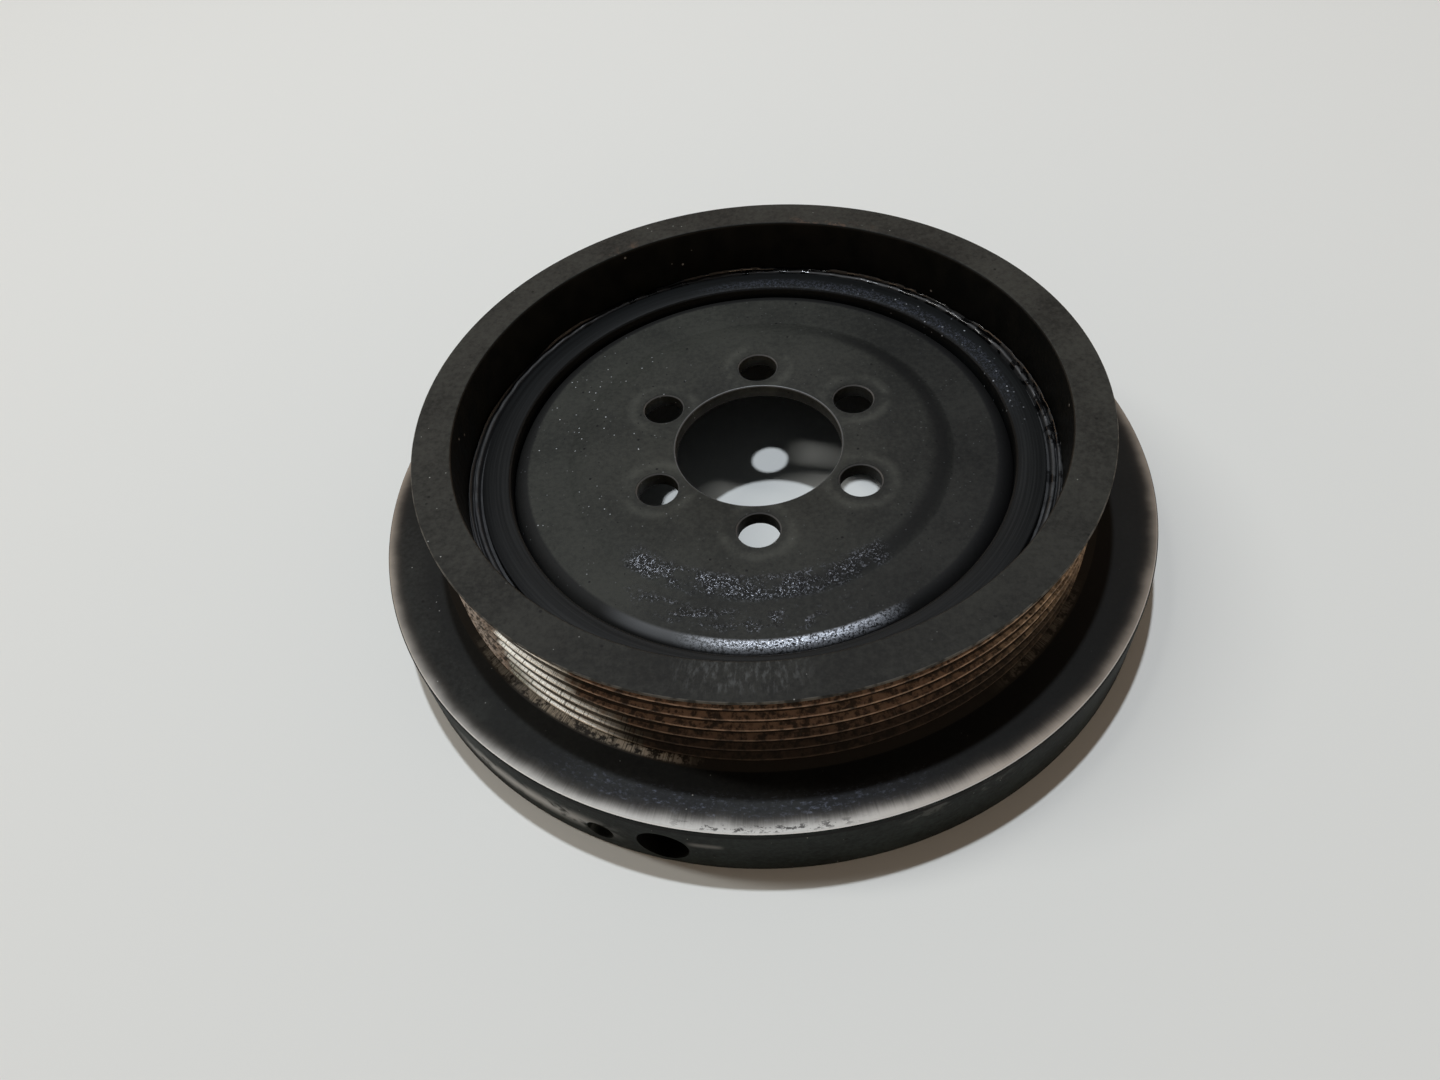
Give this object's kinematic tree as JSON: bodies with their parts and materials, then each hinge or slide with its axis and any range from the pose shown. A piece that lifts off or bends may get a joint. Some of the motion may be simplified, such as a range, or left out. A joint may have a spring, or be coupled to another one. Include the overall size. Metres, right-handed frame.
{
  "type": "crankshaft pulley with vibration damper",
  "caption": "Crankshaft pulley: grooved belt track with a heavier inertia ring behind it, held by a rubber ring on a pressed steel hub plate with a centre bore and bolt holes.",
  "frame": {"origin": "centre of the rear face's plane, on the pulley's axis", "axes": "+Z along the pulley's axis, from the rear face to the front face; one bolt hole lies on +Y"},
  "size_m": [0.168, 0.168, 0.0384],
  "materials": {
    "hub_plate": "satin black paint, oily and specked, on pressed steel",
    "hub_ring": "dark turned steel with a thin black coat",
    "rubber": "black rubber, slightly glossy with oil",
    "pulley_ring": "satin black paint on iron, belt grooves and outer edge worn to bare and rusted metal"
  },
  "bodies": {
    "root": {"hub_plate": "hub_plate", "hub_ring": "hub_ring", "rubber_ring": "rubber", "pulley_ring": "pulley_ring"}
  },
  "joints": []
}
